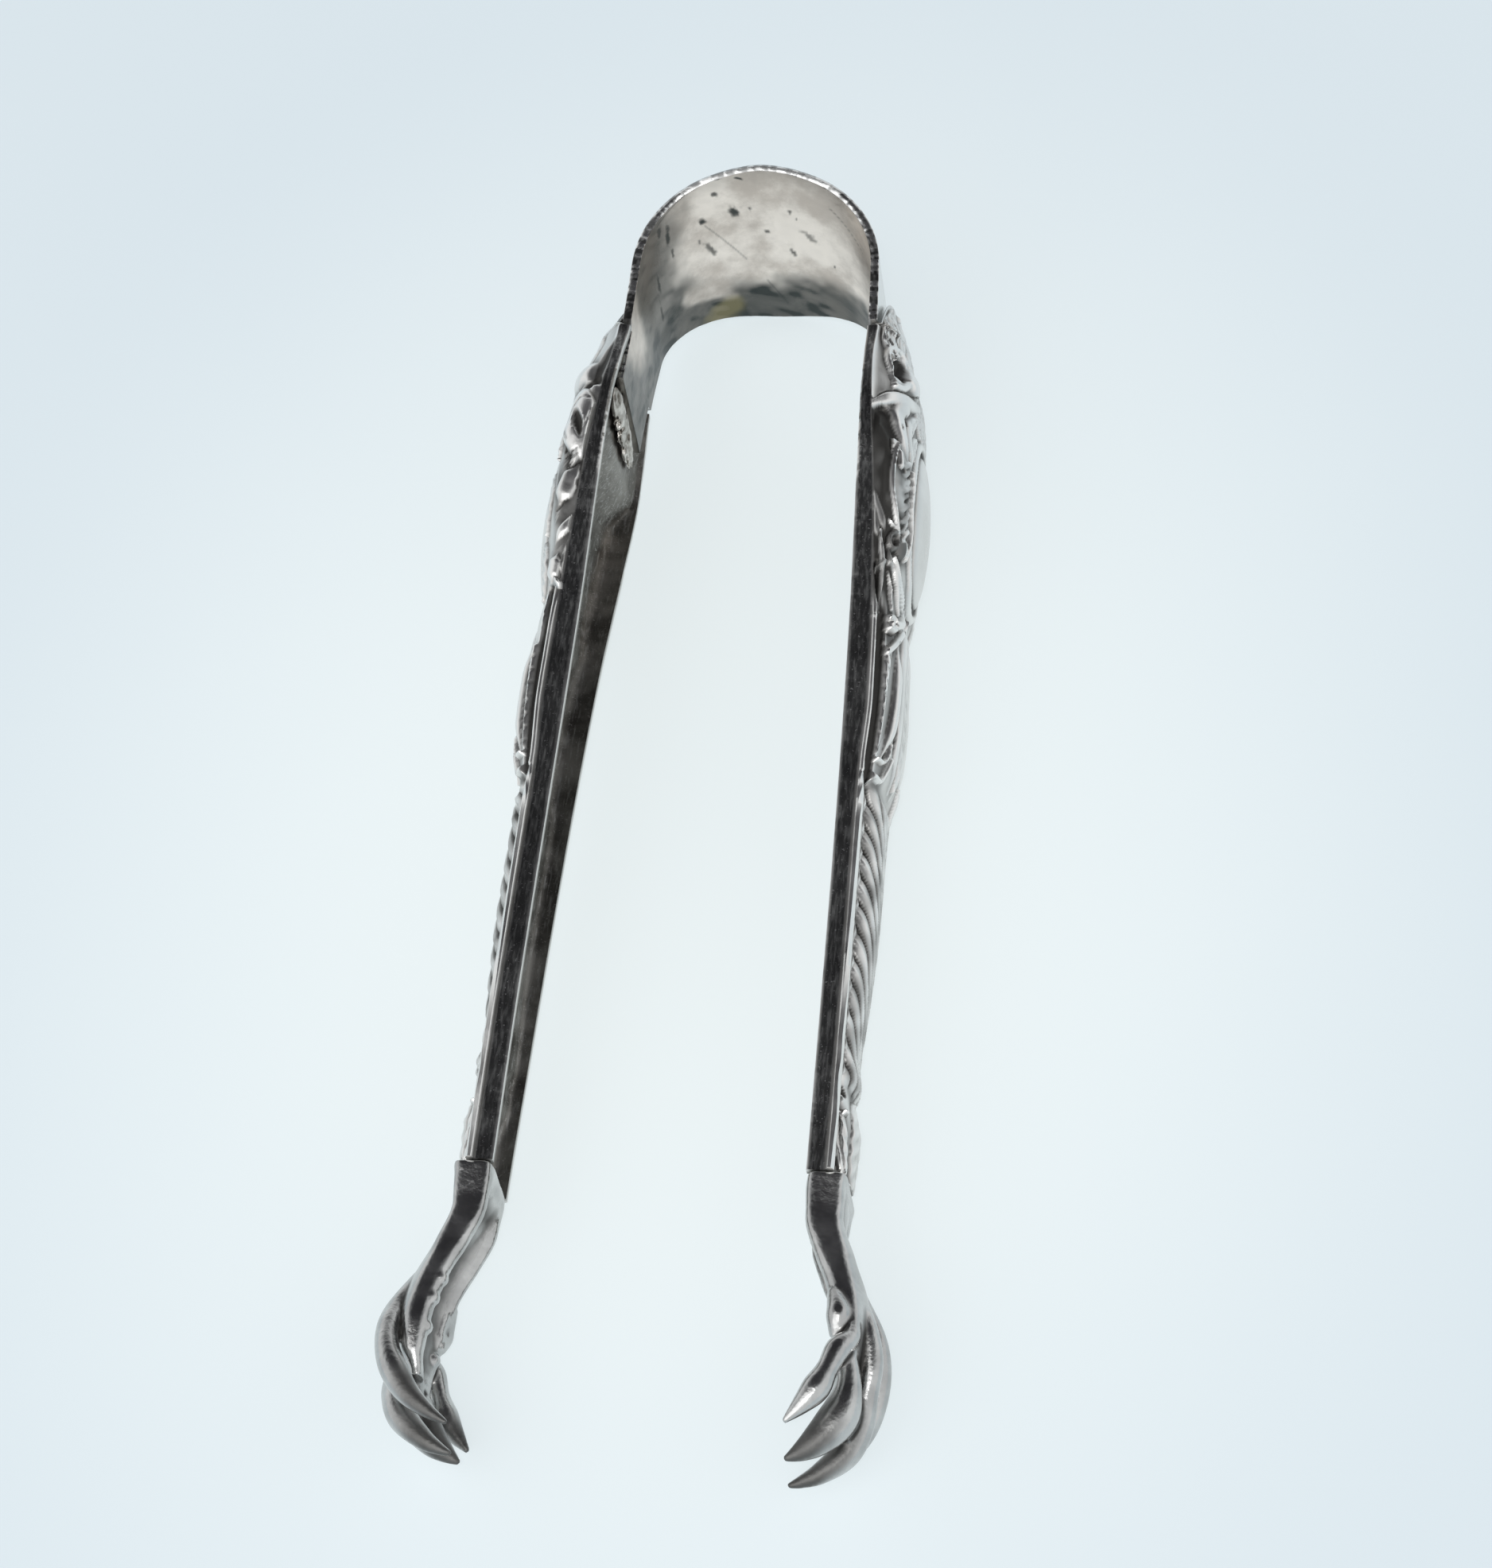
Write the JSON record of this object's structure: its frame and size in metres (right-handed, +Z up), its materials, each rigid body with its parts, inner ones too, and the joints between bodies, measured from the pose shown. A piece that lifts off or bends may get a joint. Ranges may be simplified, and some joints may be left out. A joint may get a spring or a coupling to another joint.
{
  "type": "sugar tongs",
  "caption": "Bow sugar tongs with a plain spring bow, ornate hollow-backed arms and claw feet whose talons meet to grip a sugar lump.",
  "frame": {"origin": "centre of the bounding box, at the level of the surface on which the tongs lie", "axes": "+X across the arms, +Y from the claws to the bow, +Z up; the tongs lie on their side edge, tilted 2.7 degrees so that the wide crown and both claws touch"},
  "size_m": [0.039, 0.1209, 0.0203],
  "materials": {
    "satin_silver": "silver plate on nickel silver, a copper alloy; worn satin with tarnish spots",
    "chased_silver": "silver plate on nickel silver; bright on the high parts, dark in the recesses",
    "silver_solder": "lumpy dull solder"
  },
  "bodies": {
    "bow": {"spring_bow": "satin_silver"},
    "left_side": {"left_arm": "chased_silver", "left_claw": "chased_silver", "left_shoulder_solder": "silver_solder"},
    "right_side": {"right_arm": "chased_silver", "right_claw": "chased_silver", "right_shoulder_solder": "silver_solder"}
  },
  "joints": [
    {"name": "left_arm_flex", "type": "hinge", "parent": "bow", "child": "left_side", "pos_m": [-0.00811, 0.05375, 0.00981], "axis": [0, -0.0472, 0.9989], "range_deg": [-2, 6.3], "stiffness_Nm_per_rad": 4, "deforming": ["spring_bow"]},
    {"name": "right_arm_flex", "type": "hinge", "parent": "bow", "child": "right_side", "pos_m": [0.00811, 0.05375, 0.00981], "axis": [0, 0.0472, -0.9989], "range_deg": [-2, 6.3], "stiffness_Nm_per_rad": 4, "deforming": ["spring_bow"]}
  ]
}
